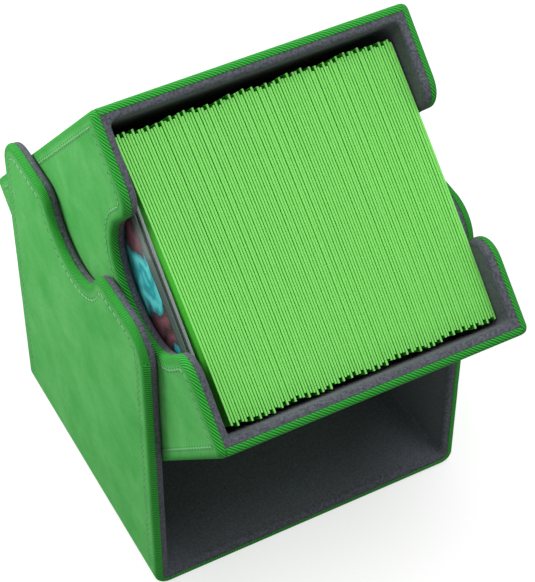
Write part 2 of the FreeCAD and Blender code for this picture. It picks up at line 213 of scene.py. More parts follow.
def joined(parts, pitch):
    """One closed border from its rounds, with straight runs between them."""
    border = []
    for part, following in zip(parts, parts[1:] + parts[:1]):
        border += part
        if math.dist(part[-1][:2], following[0][:2]) > pitch:
            border += straight(part[-1], following[0], pitch)
    return border


def wall_rim(to_sheet, side):
    """The lobed rim of one holder wall, in the sheet it is folded from, run front to back."""
    front = (-stand_reach + lobe, stand_top - lobe)
    rounds = [
        arc(front, lobe, math.pi, quarter, 14),
        arc((-shoulder_off, stand_top - shoulder), shoulder, quarter, shoulder_turn, 8),
        arc((0, wave_heart), wave, math.pi + shoulder_turn, 2 * math.pi - shoulder_turn, 28,
            hollow=True),
        arc((shoulder_off, stand_top - shoulder), shoulder, math.pi - shoulder_turn, quarter, 8),
        arc((-front[0], front[1]), lobe, quarter, 0, 14),
    ]
    rim = []
    for part in rounds:
        if rim:
            rim += [(*p[:2], 0, 1, *p[4:]) for p in straight(rim[-1], part[0], border_pitch)]
        rim += part
    flat = [sample(side * to_sheet(z), y, side * out_z, out_y) for y, z, out_y, out_z, *_ in rim]
    return flat if side > 0 else flat[::-1]


def stand_border(to_sheet):
    """The closed border of the holder's folded sheet: right rim, back edge, left rim, front edge."""
    return joined([wall_rim(to_sheet, 1), wall_rim(to_sheet, -1)], border_pitch)


def pinched(border, to_sheet):
    """Draws the front and back edges in a little at a faint crease across each wall."""
    crease = to_sheet(crease_height)
    drawn = []
    for x, y, out_x, out_y, *rest in border:
        off_crease = (abs(x) - crease) / crease_width
        dent = crease_depth * math.exp(-off_crease ** 2) if abs(out_y) > 0.99 else 0
        drawn.append((x, y - dent * out_y, out_x, out_y, *rest))
    return drawn


def turned(radius, wall, inset_by=0.0):
    """Rings of a turned edge from its seam over the round to the face: inset, depth, distance."""
    rings = [(inset_by + nick, wall, 0.0), (inset_by, wall - nick, 0.1)]
    length = wall - radius
    for i in range(7):
        angle = quarter * i / 6
        ring = (radius * (1 - math.cos(angle)), radius * (1 - math.sin(angle)))
        rings.append((inset_by + ring[0], ring[1], length + radius * angle))
    length += radius * quarter
    for further in (0.25, 2.0, 4.0):
        rings.append((inset_by + radius + further, 0.0, length + further))
    return rings


def bound_panel(border, rings, place, cuts=(), slant=None):
    """A panel made flat with its border turned over, then folded to its place in the box."""
    shell = bmesh.new()
    edge = shell.loops.layers.uv.new("edge")
    run = [0.0]
    for here, following in zip(border, border[1:] + border[:1]):
        run.append(run[-1] + math.dist(here[:2], following[:2]))
    loops = [[shell.verts.new((*inset(p, by), depth)) for p in border] for by, depth, _ in rings]
    count = len(border)
    for j in range(len(rings) - 1):
        for i in range(count):
            k = (i + 1) % count
            face = shell.faces.new((loops[j][i], loops[j][k], loops[j + 1][k], loops[j + 1][i]))
            marks = ((i, j), (i + 1, j), (i + 1, j + 1), (i, j + 1))
            for corner, (step, ring) in zip(face.loops, marks):
                over = rings[ring][2]
                slope = slant(border[step % count]) if slant else 1.0
                corner[edge].uv = (run[step] + slope * over, over)
    for loop in (loops[0][::-1], loops[-1]):
        for corner in shell.faces.new(loop).loops:
            corner[edge].uv = (0, past_edge)
    bmesh.ops.remove_doubles(shell, verts=shell.verts, dist=0.002)
    bmesh.ops.triangulate(shell, faces=[face for face in shell.faces if len(face.verts) > 4])
    for cut in cuts:
        everything = shell.verts[:] + shell.edges[:] + shell.faces[:]
        bmesh.ops.bisect_plane(shell, geom=everything, plane_co=(cut, 0, 0), plane_no=(1, 0, 0),
                               dist=1e-4)
    for vert in shell.verts:
        vert.co = Vector(place(*vert.co)) * MM
    bmesh.ops.recalc_face_normals(shell, faces=shell.faces)
    return shell


def make_piece(name, shell, material, body):
    """Turns worked mesh into a piece of the box that rides on one of its bodies."""
    mesh = bpy.data.meshes.new(name)
    shell.to_mesh(mesh)
    shell.free()
    mesh.polygons.foreach_set("use_smooth", [True] * len(mesh.polygons))
    mesh.set_sharp_from_angle(angle=math.radians(40))
    mesh.materials.append(material)
    piece = bpy.data.objects.new(name, mesh)
    bpy.context.scene.collection.objects.link(piece)
    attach(piece, body)
    return piece


def new_group(name, wants, gives):
    """An effect that several finishes share, with its own named inputs and outputs."""
    tree = bpy.data.node_groups.new(name, "ShaderNodeTree")
    for label, start in wants.items():
        want = tree.interface.new_socket(label, in_out="INPUT", socket_type="NodeSocketFloat")
        want.default_value = start
    for label in gives:
        tree.interface.new_socket(label, in_out="OUTPUT", socket_type="NodeSocketFloat")
    taken = tree.nodes.new("NodeGroupInput").outputs
    return tree, taken, tree.nodes.new("NodeGroupOutput").inputs


def use_group(tree, effect, **values):
    """Places a shared effect in a finish, with that finish's values."""
    placed = tree.nodes.new("ShaderNodeGroup")
    placed.node_tree = effect
    for label, value in values.items():
        placed.inputs[label.replace("_", " ")].default_value = value
    return placed.outputs


def mixed(tree, share, first, second):
    """A colour between two others."""
    return node(tree, "Mix", {0: share, 6: first, 7: second}, data_type="RGBA").outputs[2]


def new_finish(name):
    """An empty material and its node tree."""
    finish = bpy.data.materials.new(name)
    finish.use_nodes = True
    finish.node_tree.nodes.clear()
    return finish, finish.node_tree


def coated(tree, colour, bump, height_scale, **plain):
    """The surface shader of a finish, its height in millimetres, and its plain values."""
    relief = node(tree, "Bump", {"Height": bump, "Distance": MM * height_scale, "Strength": 1.0})
    surface = node(tree, "BsdfPrincipled", {"Base Color": colour, "Normal": relief.outputs[0]})
    for label, value in plain.items():
        surface.inputs[label.replace("_", " ")].default_value = value
    node(tree, "OutputMaterial", {"Surface": surface.outputs[0]})
    return surface


# Nap is the brushed face of suede and microfibre: soft clouds where the pile lies one way or the
# other, a finer mottle, and single fibres.
nap, wants, gives = new_group("brushed nap", {"Cloud scale": 90.0, "Fibre scale": 2600.0},
                              ("Cloud", "Fibre", "Height"))
spot = node(nap, "TexCoord", {}).outputs["Object"]
cloud = node(nap, "TexNoise", {"Vector": spot, "Scale": wants["Cloud scale"], "Detail": 5.0,
                               "Roughness": 0.62, "Distortion": 0.4}).outputs["Fac"]
fibre = node(nap, "TexNoise", {"Vector": spot, "Scale": wants["Fibre scale"], "Detail": 2.0,
                               "Roughness": 0.7}).outputs["Fac"]
wide = node(nap, "MapRange", {0: cloud, 1: 0.30, 2: 0.70, 3: 0.0, 4: 1.0}).outputs[0]
fine = node(nap, "MapRange", {0: fibre, 1: 0.25, 2: 0.75, 3: 0.0, 4: 1.0}).outputs[0]
nap.links.new(wide, gives["Cloud"])
nap.links.new(fine, gives["Fibre"])
piled = reckon(nap, "MULTIPLY_ADD", fine, 0.7, reckon(nap, "MULTIPLY", wide, 0.3))
nap.links.new(piled, gives["Height"])

# The turned edge: pressed ribs across it that fade out on the face, and the shallow furrow that
# the row of stitches pulls into the panel.
edge_wants = {"Pitch": 0.64, "Start": 1.6, "End": 3.9, "Furrow at": 4.7}
bound, wants, gives = new_group("turned edge", edge_wants, ("Rib", "Turned", "Height"))
place_on_edge = node(bound, "UVMap", {}, uv_map="edge").outputs[0]
parts = node(bound, "SeparateXYZ", {0: place_on_edge}).outputs
waver = node(bound, "TexNoise", {"Vector": node(bound, "TexCoord", {}).outputs["Object"],
                                 "Scale": 420.0, "Detail": 1.0}).outputs["Fac"]
along = reckon(bound, "ADD", parts[0], reckon(bound, "MULTIPLY", waver, 0.35))
phase = reckon(bound, "DIVIDE", reckon(bound, "MULTIPLY", along, 2 * math.pi), wants["Pitch"])
rib = reckon(bound, "MULTIPLY_ADD", reckon(bound, "SINE", phase), 0.5, 0.5)
fade = node(bound, "MapRange", {0: parts[1], 1: wants["Start"], 2: wants["End"], 3: 1.0, 4: 0.0},
            interpolation_type="SMOOTHSTEP").outputs[0]
off_line = reckon(bound, "DIVIDE", reckon(bound, "SUBTRACT", parts[1], wants["Furrow at"]), 0.55)
fall = reckon(bound, "MULTIPLY", reckon(bound, "POWER", off_line, 2.0), -1.0)
furrow = reckon(bound, "EXPONENT", fall)
ribbed = reckon(bound, "MULTIPLY", rib, fade)
bound.links.new(rib, gives["Rib"])
bound.links.new(fade, gives["Turned"])
relief = reckon(bound, "SUBTRACT", ribbed, reckon(bound, "MULTIPLY", furrow, 0.9))
bound.links.new(relief, gives["Height"])


def leatherette(name, pitch, furrow_line):
    """Green suede-faced leatherette, ribbed where it is turned over an edge. On the turned edge the
    ribs' light and dark strokes are painted highlight and painted shade, and the edge as a whole is
    painted darker than the face, as painted shade.
    """
    finish, tree = new_finish(name)
    brushed = use_group(tree, nap, Cloud_scale=75.0, Fibre_scale=1900.0)
    pressed = use_group(tree, bound, Pitch=pitch, Furrow_at=furrow_line)
    cloudy = mixed(tree, brushed["Cloud"], dye(56, 148, 62), dye(90, 168, 91))
    face = mixed(tree, reckon(tree, "MULTIPLY", brushed["Fibre"], 0.5), cloudy, dye(46, 138, 52))
    # Painted highlight and painted shade: light strokes on the ribs and near-black green in their
    # grooves.
    rib_highlight_and_shade = mixed(tree, pressed["Rib"], dye(2, 100, 12), dye(58, 160, 62))
    # The turned edge takes the rib colours, so it is painted darker than the face as painted shade.
    colour = mixed(tree, reckon(tree, "MULTIPLY", pressed["Turned"], 0.94), face, rib_highlight_and_shade)
    height = reckon(tree, "MULTIPLY_ADD", brushed["Height"], 0.3, pressed["Height"])
    coated(tree, colour, height, 0.12, Roughness=0.92, Sheen_Weight=0.04, Sheen_Roughness=0.5,
           Specular_IOR_Level=0.08)
    return finish


def green_sheet(z):
    """How far out a height on the wall lies in the flat sheet."""
    return stand_half - stand_fold + stand_fold * quarter + z - stand_fold


def fold_green(x, y, depth):
    """Folds the flat sheet into the holder's U."""
    side = math.copysign(1, x)
    flat = stand_half - stand_fold
    past = (abs(x) - flat) / stand_fold
    if past <= 0:
        return x, y, depth
    if past >= quarter:
        return side * (stand_half - depth), y, stand_fold + abs(x) - flat - stand_fold * quarter
    radius = stand_fold - depth
    return side * (flat + radius * math.sin(past)), y, stand_fold - radius * math.cos(past)


def cross_ribs(point):
    """The ribs run slanting on the lobed rims and nearly straight across the upright edges."""
    return rim_slant if abs(point[3]) < 0.97 else edge_slant


def fold_cuts(start, length, steps=8):
    """Where a flat sheet is divided so that it can bend round a fold on either side."""
    return [side * (start + length * i / steps) for side in (-1, 1) for i in range(steps + 1)]


def furrow_for(sewn_in):
    """How far over the turned edge, from its seam, a row of stitches lies."""
    return half_wall - turn + turn * quarter + sewn_in - turn


green_stand = leatherette("green leatherette of the holder", rib_pitch, furrow_for(sewn_in))
green_border = pinched(stand_border(green_sheet), green_sheet)
cuts = fold_cuts(stand_half - stand_fold, stand_fold * quarter)
shell = bound_panel(green_border, turned(turn, half_wall), fold_green, cuts, cross_ribs)
holder_shell = make_piece("holder_green_shell", shell, green_stand, "stand")
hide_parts("stand_cover")

# Holder, sewing: a row of lock stitches that runs inside the front edge, the lobed rim and the back
# edge of each wall, in grey-green thread, with the needle's holes on either side of it. The holes are
# flat dark discs of painted shade.
stitch_pitch = 2.1
thread = 0.12
stitch_slant = 0.36
stitch_rings = ((0.08, 0.5, -0.12), (0.2, 0.9, -0.01), (0.5, 1.0, 0.01), (0.8, 0.9, -0.01),
                (0.92, 0.5, -0.12))
hole_aside = 0.44
hole_across = 0.21
hole_along = 0.23
hole_shift = 0.10
row_foot = 6.0


def thread_finish():
    """Twisted polyester thread."""
    finish, tree = new_finish("grey-green thread")
    spot = node(tree, "TexCoord", {}).outputs["Object"]
    twist = node(tree, "TexNoise", {"Vector": spot, "Scale": 6000.0, "Detail": 2.0}).outputs["Fac"]
    colour = mixed(tree, twist, dye(78, 134, 88), dye(122, 170, 130))
    coated(tree, colour, twist, 0.05, Roughness=0.55)
    return finish


def needle_shade_finish():
    """Painted shade: the dark inside of a needle hole, shown as a flat dark disc on the green skin.
    """
    finish, tree = new_finish("needle holes")
    spot = node(tree, "TexCoord", {}).outputs["Object"]
    depth = node(tree, "TexNoise", {"Vector": spot, "Scale": 3000.0}).outputs["Fac"]
    colour = mixed(tree, depth, dye(2, 42, 12), dye(16, 72, 26))
    coated(tree, colour, depth, 0.05, Roughness=0.9)
    return finish


def path_lengths(path):
    """The distance run along a path at each of its points."""
    run = [0.0]
    for here, following in zip(path, path[1:]):
        run.append(run[-1] + math.dist(here, following))
    return run


def sewn_row(shell, holes, path, place):
    """Adds one row of stitches, and the needle holes beside it, along a path on a panel."""
    run = path_lengths(path)
    count = int(run[-1] / stitch_pitch)
    pitch = run[-1] / count

    def at(distance):
        """The place and direction of the row at a distance along it."""
        distance = min(max(distance, 0.0), run[-1] - 1e-6)
        k = max(i for i in range(len(run) - 1) if run[i] <= distance)
        share = (distance - run[k]) / (run[k + 1] - run[k])
        here = [path[k][j] + (path[k + 1][j] - path[k][j]) * share for j in (0, 1)]
        along = [(path[k + 1][j] - path[k][j]) / (run[k + 1] - run[k]) for j in (0, 1)]
        return here, along

    for i in range(count):
        rings = []
        for share, size, rise in stitch_rings:
            (x, y), (dx, dy) = at((i + share) * pitch)
            aside = stitch_slant * (share - 0.5)
            ring = []
            for step in range(6):
                angle = step * math.pi / 3
                off = aside + thread * size * math.cos(angle)
                depth = -(rise + thread * size * math.sin(angle))
                ring.append(shell.verts.new(Vector(place(x - dy * off, y + dx * off, depth)) * MM))
            rings.append(ring)
        for first, second in zip(rings, rings[1:]):
            for step in range(6):
                after = (step + 1) % 6
                shell.faces.new((first[step], first[after], second[after], second[step]))
        shell.faces.new(rings[0][::-1])
        shell.faces.new(rings[-1])
    for i in range(count + 1):
        for side, shift in ((-1, hole_shift), (1, -hole_shift)):
            (x, y), (dx, dy) = at((i + shift) * pitch)
            ring = []
            for step in range(6):
                angle = step * math.pi / 3
                off = side * hole_aside + hole_across * math.cos(angle)
                ahead = hole_along * math.sin(angle)
                spot = place(x - dy * off + dx * ahead, y + dx * off + dy * ahead, -0.02)
                ring.append(holes.verts.new(Vector(spot) * MM))
            holes.faces.new(ring)


def sewn_pieces(name, rows, place, body):
    """The thread of all rows on one panel, and the painted shade of their needle holes."""
    shell, holes = bmesh.new(), bmesh.new()
    for path in rows:
        sewn_row(shell, holes, path, place)
    bmesh.ops.recalc_face_normals(shell, faces=shell.faces)
    make_piece(f"{name}_thread", shell, thread_green, body)
    make_piece(f"{name}_painted_hole_shade", holes, needle_hole_shade, body)


def wall_rows(side):
    """One row up the front edge of a holder wall, over its lobed rim and down its back edge."""
    rim = [inset(p, sewn_in) for p in wall_rim(green_sheet, 1)]
    foot = green_sheet(row_foot)
    reach = stand_reach - sewn_in
    path = [(foot, -reach)] + rim + [(foot, reach)]
    return [[(side * x, y) for x, y in path]]


thread_green = thread_finish()
needle_hole_shade = needle_shade_finish()
for side, name in ((-1, "left"), (1, "right")):
    sewn_pieces(f"holder_{name}", wall_rows(side), fold_green, "stand")

# Holder, lining: dark microfibre over three thinner boards, glued inside the green shell a hair
# short of its rim, so the wall's edge shows one green and one dark band.
lining_step = 0.15
lining_turn = 1.1
lined_half = stand_half - 2 * half_wall
lined_floor = 4.0
lined_fold = 1.5
glued_drop = 2.0
glued_blend = 20.0


def microfibre():
    """Dark grey microfibre with a short pile and a faint sheen. Its turned edges are painted darker
    than the flat pile, with a stronger mottle, as painted shade.
    """
    finish, tree = new_finish("dark microfibre")
    brushed = use_group(tree, nap, Cloud_scale=60.0, Fibre_scale=1700.0)
    opened = use_group(tree, bound, Start=1.4, End=3.6)
    flat_pile = mixed(tree, brushed["Fibre"], dye(102, 103, 112), dye(74, 75, 83))
    # Painted shade: the turned edges are coloured darker than the flat pile.
    turned_edge_shade = mixed(tree, brushed["Fibre"], dye(96, 99, 106), dye(50, 53, 59))
    colour = mixed(tree, opened["Turned"], flat_pile, turned_edge_shade)
    coated(tree, colour, brushed["Height"], 0.14, Roughness=0.95, Sheen_Weight=0.06,
           Sheen_Roughness=0.5, Specular_IOR_Level=0.08)
    return finish


def lined_sheet(z):
    """How far out a height on the lined wall lies in its flat sheet."""
    flat = lined_half - lined_fold
    return flat + lined_fold * quarter + z - lined_floor - lined_fold


def fold_lining(x, y, depth):
    """Folds the lining's sheet: its face by one fold, its glued side by the shell's own."""
    side = math.copysign(1, x)
    flat = lined_half - lined_fold
    bend = lined_fold * quarter
    share = depth / half_wall
    glued_flat = stand_half - stand_fold
    if abs(x) <= flat:
        face = (abs(x), lined_floor)
        glued = (abs(x) * glued_flat / flat, half_wall)
    elif abs(x) <= flat + bend:
        angle = (abs(x) - flat) / lined_fold
        inner = stand_fold - half_wall
        face = (flat + lined_fold * math.sin(angle), lined_floor + lined_fold * (1 - math.cos(angle)))
        glued = (glued_flat + inner * math.sin(angle), stand_fold - inner * math.cos(angle))
    else:
        up = abs(x) - flat - bend
        height = lined_floor + lined_fold + up
        face = (lined_half, height)
        glued = (stand_half - half_wall, height - glued_drop * max(0.0, 1 - up / glued_blend))
    across, rise = (f + (g - f) * share for f, g in zip(face, glued))
    return side * across, y, rise


dark_lining = microfibre()
lined_border = pinched(stand_border(lined_sheet), lined_sheet)
cuts = fold_cuts(lined_half - lined_fold, lined_fold * quarter, 6)
blend_heights = (10, 15, 20, lined_floor + lined_fold + glued_blend)
cuts += [side * lined_sheet(z) for side in (-1, 1) for z in blend_heights]
shell = bound_panel(lined_border, turned(lining_turn, half_wall, lining_step), fold_lining, cuts)
holder_lining = make_piece("holder_dark_lining", shell, dark_lining, "stand")
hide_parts("stand_lining")

# Holder and tray, stiffening: grey recycled board inside every panel, and four flat magnets let
# into it where the tray turns. None of it shows in the finished box.
board, tree = new_finish("recycled greyboard")
spot = node(tree, "TexCoord", {}).outputs["Object"]
pulp = node(tree, "TexNoise", {"Vector": spot, "Scale": 700.0, "Detail": 6.0, "Roughness": 0.7})
fleck = node(tree, "TexVoronoi", {"Vector": spot, "Scale": 900.0})
coarse = reckon(tree, "ADD", fleck.outputs["Distance"], 0.6)
speckled = reckon(tree, "MULTIPLY", pulp.outputs["Fac"], coarse)
grey = mixed(tree, speckled, dye(122, 112, 100), dye(176, 168, 156))
coated(tree, grey, pulp.outputs["Fac"], 0.06, Roughness=0.95)

nickel, tree = new_finish("nickel plate")
spot = node(tree, "TexCoord", {}).outputs["Object"]
swirl = node(tree, "TexNoise", {"Vector": spot, "Scale": 1500.0, "Detail": 3.0}).outputs["Fac"]
plate = mixed(tree, swirl, dye(168, 168, 166), dye(206, 206, 204))
coated(tree, plate, swirl, 0.004, Metallic=1.0, Roughness=0.32)


def dress(name, finish):
    """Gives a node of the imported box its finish."""
    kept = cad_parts[name]
    kept.data.materials.clear()
    kept.data.materials.append(finish)


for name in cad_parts:
    if "_board" in name:
        dress(name, board)
    if "magnet" in name:
        dress(name, nickel)

# Tray, green shell: a side panel over each end with a thumb notch in its rim, and one wrap folded
# round front, bottom and back between them. It hangs between the walls, leaning forward.
tray_half = 38.5
tray_reach = 39.0
tray_foot = -43.2
tray_rim = 58.8
tray_fold = 1.6
rim_round = 2.0
notch = 15.3
notch_deep = 26.2
notch_heart = tray_rim - notch_deep + notch
axis_height = 61.9
lean = math.radians(41.2)
tray_sewn_in = 3.0
tray_rib_pitch = 0.98
tray_slant = 1.4
wrap_slant = 1.2
rim_margin = 7.0


def leaned(x, back, up):
    """Leans a place in the upright tray forward about the magnets' axis."""
    return (x, back * math.cos(lean) - up * math.sin(lean),
            axis_height + back * math.sin(lean) + up * math.cos(lean))


def notch_rounds(heart=0.0):
    """The thumb notch in a rim that runs from right to left: shoulder, half circle, shoulder."""
    top = tray_rim - shoulder
    off = notch + shoulder
    return [
        arc((heart + off, top), shoulder, quarter, math.pi, 8),
        arc((heart, notch_heart), notch, 0, -math.pi, 32, hollow=True),
        arc((heart - off, top), shoulder, 0, quarter, 8),
    ]


def side_border():
    """The closed border of a tray side panel, seen with the back of the box to the right."""
    across, foot = tray_reach - tray_fold, tray_foot + tray_fold
    corners = tray_reach - rim_round, tray_rim - rim_round
    parts = [
        arc((across, foot), tray_fold, -quarter, 0, 5, corner=(1, -1)),
        arc(corners, rim_round, 0, quarter, 6, corner=(1, 1)),
        *notch_rounds(),
        arc((-corners[0], corners[1]), rim_round, quarter, 2 * quarter, 6, corner=(-1, 1)),
        arc((-across, foot), tray_fold, 2 * quarter, 3 * quarter, 5, corner=(-1, -1)),
    ]
    return joined(parts, border_pitch)


def tray_side(side):
    """Stands a side panel at its end of the tray."""
    return lambda back, up, depth: leaned(side * (tray_half - depth), back, up)


def side_rows():
    """Front edge, notched rim and back edge of a tray side panel, with sharp corners."""
    reach = tray_reach - tray_sewn_in
    top = [inset(p, tray_sewn_in) for part in notch_rounds() for p in part]
    rim = tray_rim - tray_sewn_in
    foot = tray_foot + row_foot
    return [[(reach, foot), (reach, rim)], [(reach, rim)] + top + [(-reach, rim)],
            [(-reach, rim), (-reach, foot)]]


green_tray = leatherette("green leatherette of the tray", tray_rib_pitch, furrow_for(tray_sewn_in))
for side, name in ((-1, "left"), (1, "right")):
    shell = bound_panel(side_border(), turned(turn, half_wall), tray_side(side),
                        slant=lambda point, side=side: -tray_slant * side)
    panel = make_piece(f"tray_green_side_{name}", shell, green_tray, "tray")
    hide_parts(f"tray_cover_{name}")
    sewn_pieces(f"tray_{name}", side_rows(), tray_side(side), "tray")


def wrap_sheet(up):
    """How far out a height on the front or back lies in the wrap's flat sheet."""
    return tray_reach - tray_fold + tray_fold * quarter + up - tray_foot - tray_fold


def fold_wrap(x, y, depth):
    """Folds the wrap's sheet round front, bottom and back. Its x runs from front to back."""
    side = math.copysign(1, x)
    flat = tray_reach - tray_fold
    past = (abs(x) - flat) / tray_fold
    if past <= 0:
        return leaned(y, x, tray_foot + depth)
    if past >= quarter:
        up = tray_foot + tray_fold + abs(x) - flat - tray_fold * quarter
        return leaned(y, side * (tray_reach - depth), up)
    share = depth / half_wall
    outer = flat + tray_fold * math.sin(past)
    rise = tray_foot + tray_fold * (1 - math.cos(past))
    inner = tray_reach - half_wall
    return leaned(y, side * (outer + (inner - outer) * share),
                  rise + (tray_foot + tray_fold - rise) * share)


def strip_border(end, half, margin, across=24, along=40):
    """The border of a strip turned over at its two ends and butted along its two sides."""
    near_end = end - margin
    border = []
    for way in (1, -1):
        border += [sample(way * end, way * (2 * half * i / across - half), way, 0)
                   for i in range(across + 1)]
        border += [sample(way * (near_end - 2 * near_end * i / along), way * half, 0, 0)
                   for i in range(along + 1)]
    return border


# No stitches cross the wrap, so its furrow lies past the edge.
unsewn = 40.0
green_wrap = leatherette("green leatherette of the wrap", tray_rib_pitch, unsewn)
wrap_end = wrap_sheet(tray_rim)
cuts = fold_cuts(tray_reach - tray_fold, tray_fold * quarter, 6)
strip = strip_border(wrap_end, tray_half - half_wall, rim_margin)
shell = bound_panel(strip, turned(turn, half_wall), fold_wrap, cuts, lambda point: wrap_slant)
wrap_piece = make_piece("tray_green_wrap", shell, green_wrap, "tray")
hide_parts("tray_cover_wrap")

# Tray, lining: the same dark microfibre on thin boards all round the inside, its face running on
# round the inner corners, and a lined floor under the cards.
room_x = tray_half - 2 * half_wall
room_back = tray_reach - 2 * half_wall
room_floor = tray_foot + 2 * half_wall
corner_round = 1.5
long_run = 2 * (room_x - corner_round)
side_run = 2 * (room_back - corner_round)
corner_run = corner_round * quarter
round_run = 2 * (long_run + side_run) + 4 * corner_run


def round_the_room(run, up, depth):
    """Bends the lining's strip round the inside, clockwise from the back left corner."""
    share = depth / half_wall
    run = min(max(run, 0.0), round_run)
    for turn_index in range(4):
        length = long_run if turn_index % 2 == 0 else side_run
        if run <= length + corner_run or turn_index == 3:
            break
        run -= length + corner_run
    reach_along, reach_out = (room_x, room_back) if turn_index % 2 == 0 else (room_back, room_x)
    if run <= length:
        along, out = run - length / 2, reach_out + depth
    else:
        angle = min((run - length) / corner_round, quarter)
        across, ahead = math.cos(angle), math.sin(angle)
        widest = max(across, ahead)
        face = (reach_along - corner_round * (1 - ahead), reach_out - corner_round * (1 - across))
        glued = (reach_along - corner_round + (corner_round + half_wall) * ahead / widest,
                 reach_out - corner_round + (corner_round + half_wall) * across / widest)
        along, out = (f + (g - f) * share for f, g in zip(face, glued))
    x, back = ((along, out), (out, -along), (-along, -out), (-out, along))[turn_index]
    return leaned(x, back, up)


def lining_strip():
    """The border of the lining's strip: butted ends and foot, and a rim with two notches."""
    foot, top, margin = room_floor, tray_rim, tray_rim - rim_margin
    right_heart = long_run + corner_run + side_run / 2
    left_heart = round_run - corner_run - side_run / 2
    border = [sample(round_run * i / 60, foot, 0, 0) for i in range(61)]
    border += [sample(round_run, foot + (margin - foot) * i / 30, 0, 0) for i in range(1, 31)]
    border.append(sample(round_run, top, 0, 1))
    for part in notch_rounds(left_heart) + notch_rounds(right_heart):
        if math.dist(border[-1][:2], part[0][:2]) > 2.0:
            border += straight(border[-1], part[0], 1.5)
        border += part
    end = sample(0, top, 0, 1)
    border += straight(border[-1], end, 1.5)
    border.append(end)
    border += [sample(0, margin - (margin - foot) * i / 30, 0, 0) for i in range(30)]
    return border


cuts = []
start = 0.0
for length in (long_run, side_run, long_run, side_run):
    cuts += [start + length + corner_run * i / 6 for i in range(7)]
    start += length + corner_run
rings = turned(lining_turn, half_wall, lining_step)
shell = bound_panel(lining_strip(), rings, round_the_room, cuts[:-1])
tray_lining = make_piece("tray_dark_lining", shell, dark_lining, "tray")
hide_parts("tray_lining_left", "tray_lining_right", "tray_lining_wrap")

floor_under = 1.2
floor_half = (room_x + floor_under, room_back + floor_under)
floor_round = 0.5
floor_rings = [(0, 1.6, 0), (0, 0.2, 1.4), (0.2, 0, 1.7), (3.0, 0, 4.5)]
corners = [(1, -1), (1, 1), (-1, 1), (-1, -1)]
floor_parts = []
for i, (x, y) in enumerate(corners):
    heart = (x * (floor_half[0] - floor_round), y * (floor_half[1] - floor_round))
    first = -quarter + i * quarter
    floor_parts.append(arc(heart, floor_round, first, first + quarter, 4, corner=(x, y)))
shell = bound_panel(joined(floor_parts, 3.0), floor_rings,
                    lambda x, y, depth: leaned(x, y, room_floor - depth))
make_piece("tray_dark_floor", shell, dark_lining, "tray")

# Deck: a hundred cards, each in its own green sleeve of matt film welded along three sides. They
# stand on the open end, so the welded tops show as a hundred ridges with uneven ends, coloured
# lighter along the weld as a painted highlight.
deck_count = 100
play = 0.35
sleeve_wide = 66.0
sleeve_tall = 92.0
sleeve_thick = 0.6
sleeve_pitch = 0.68
sleeve_foot = room_floor + play
first_sleeve = -room_x + play + sleeve_thick + play
sleeve_bow = 0.35
sleeve_uneven = 0.25
front_push = 1.6
push_lost = 1.25
fin = 0.27
groove = 0.18
off_weld = 3
along_steps = 14
up_steps = 4
card_wide = 63.0
card_tall = 88.0
card_thick = 0.3
card_inset = (sleeve_wide - card_wide) / 2
card_within = (sleeve_thick - card_thick) / 2
rng = random.Random(7)


def stand_back(i):
    """How far sleeve i stands off the front of the tray: uneven, as in a deck that is in use."""
    return 2.6 * (0.42 + 0.0022 * i + 0.24 * math.sin(2.4 * i) + 0.12 * math.sin(0.31 * i + 0.8))


def stood(i, start, bow, x, back, up):
    """A place in sleeve i, which bows in the middle and was pushed to the right at its front."""
    share = (back + room_back - play - stand_back(i)) / sleeve_wide
    pushed = (1 - share) * (front_push - push_lost * i / (deck_count - 1)) if bow else 0
    return Vector(leaned(start + x + bow * 4 * share * (1 - share) + pushed, back, up)) * MM


def sleeve_mesh(shell, marks, start, i, bow, rise):
    """Adds one sleeve: two films that lie round the card and come together at the welds."""
    front = -room_back + play + stand_back(i)
    rear = front + sleeve_wide
    top = sleeve_foot + sleeve_tall + rise
    card_share = i / deck_count
    middle = sleeve_thick / 2
    rings = ((2.0, 0.0), (groove + 0.2, 0.01), (groove, middle - fin - 0.03), (0.08, middle - fin),
             (0.0, middle - fin + 0.08), (0.0, middle + fin - 0.08), (0.08, middle + fin),
             (groove, middle + fin + 0.03), (groove + 0.2, sleeve_thick - 0.01), (2.0, sleeve_thick))
    loops = []
    for by, x in rings:
        heights = [sleeve_foot + (top - by - sleeve_foot) * k / up_steps for k in range(up_steps)]
        path = [(front + by, up) for up in heights]
        path += [(front + by + (rear - front - 2 * by) * k / along_steps, top - by)
                 for k in range(along_steps + 1)]
        path += [(rear - by, up) for up in reversed(heights)]
        loops.append([(shell.verts.new(stood(i, start, bow, x, back, up)), by) for back, up in path])
    for first, second in zip(loops, loops[1:]):
        for k in range(len(first) - 1):
            quad = (first[k], first[k + 1], second[k + 1], second[k])
            face = shell.faces.new([vert for vert, _ in quad])
            for corner, (_, by) in zip(face.loops, quad):
                corner[marks].uv = (card_share, by)
        quad = (first[-1], first[0], second[0], second[-1])
        for corner in shell.faces.new([vert for vert, _ in quad]).loops:
            corner[marks].uv = (card_share, off_weld)
    for loop in (loops[0][::-1], loops[-1]):
        for corner in shell.faces.new([vert for vert, _ in loop]).loops:
            corner[marks].uv = (card_share, off_weld)


